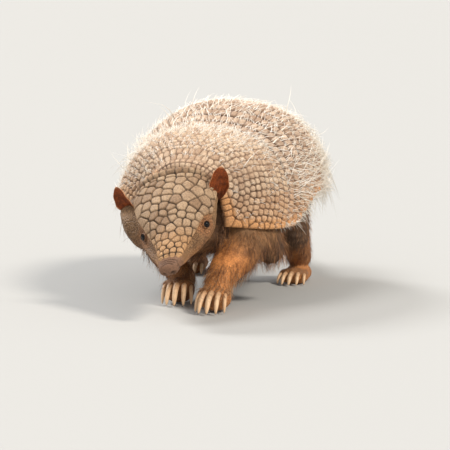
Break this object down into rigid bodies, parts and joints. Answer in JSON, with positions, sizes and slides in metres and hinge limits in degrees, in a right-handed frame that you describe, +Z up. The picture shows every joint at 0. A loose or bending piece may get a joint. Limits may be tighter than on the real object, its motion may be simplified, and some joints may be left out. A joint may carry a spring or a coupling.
{
  "type": "armadillo model",
  "caption": "Life-size still model of a six-banded armadillo, walking with its head low: jointed-looking plated shell, pale bristles, orange-brown legs.",
  "frame": {"origin": "on the floor, under the middle of the bounding box", "axes": "+Z up, the animal faces -Y, its left side is +X"},
  "size_m": [0.182, 0.542, 0.1787],
  "materials": {
    "skin": "bare grey-brown to orange-brown skin with fine scales, creases and short fur",
    "shell": "dry sandy horn over bone in small plates with dark grooves, set with pale bristles",
    "ear_skin": "dark reddish-brown granular skin",
    "eye": "wet, near black",
    "claw": "worn satin horn, paler towards the tips",
    "hair": "coarse pale bristles, orange-brown and shorter on the legs"
  },
  "bodies": {
    "root": {"trunk": "skin", "neck": "skin", "head": "skin", "tail": "skin", "foreleg_left": "skin", "foreleg_right": "skin", "hindleg_left": "skin", "hindleg_right": "skin", "forepaw_left": "skin", "forepaw_right": "skin", "hindpaw_left": "skin", "hindpaw_right": "skin", "ear_left": "ear_skin", "ear_right": "ear_skin", "eye_left": "eye", "eye_right": "eye", "scapular_shield": "shell", "band_1": "shell", "band_2": "shell", "band_3": "shell", "band_4": "shell", "band_5": "shell", "band_6": "shell", "band_7": "shell", "pelvic_shield": "shell", "head_shield": "shell", "nape_plate": "shell", "forepaw_left_claw_1": "claw", "forepaw_left_claw_2": "claw", "forepaw_left_claw_3": "claw", "forepaw_left_claw_4": "claw", "forepaw_left_claw_5": "claw", "forepaw_right_claw_1": "claw", "forepaw_right_claw_2": "claw", "forepaw_right_claw_3": "claw", "forepaw_right_claw_4": "claw", "forepaw_right_claw_5": "claw", "hindpaw_left_claw_1": "claw", "hindpaw_left_claw_2": "claw", "hindpaw_left_claw_3": "claw", "hindpaw_left_claw_4": "claw", "hindpaw_left_claw_5": "claw", "hindpaw_right_claw_1": "claw", "hindpaw_right_claw_2": "claw", "hindpaw_right_claw_3": "claw", "hindpaw_right_claw_4": "claw", "hindpaw_right_claw_5": "claw"}
  },
  "joints": []
}
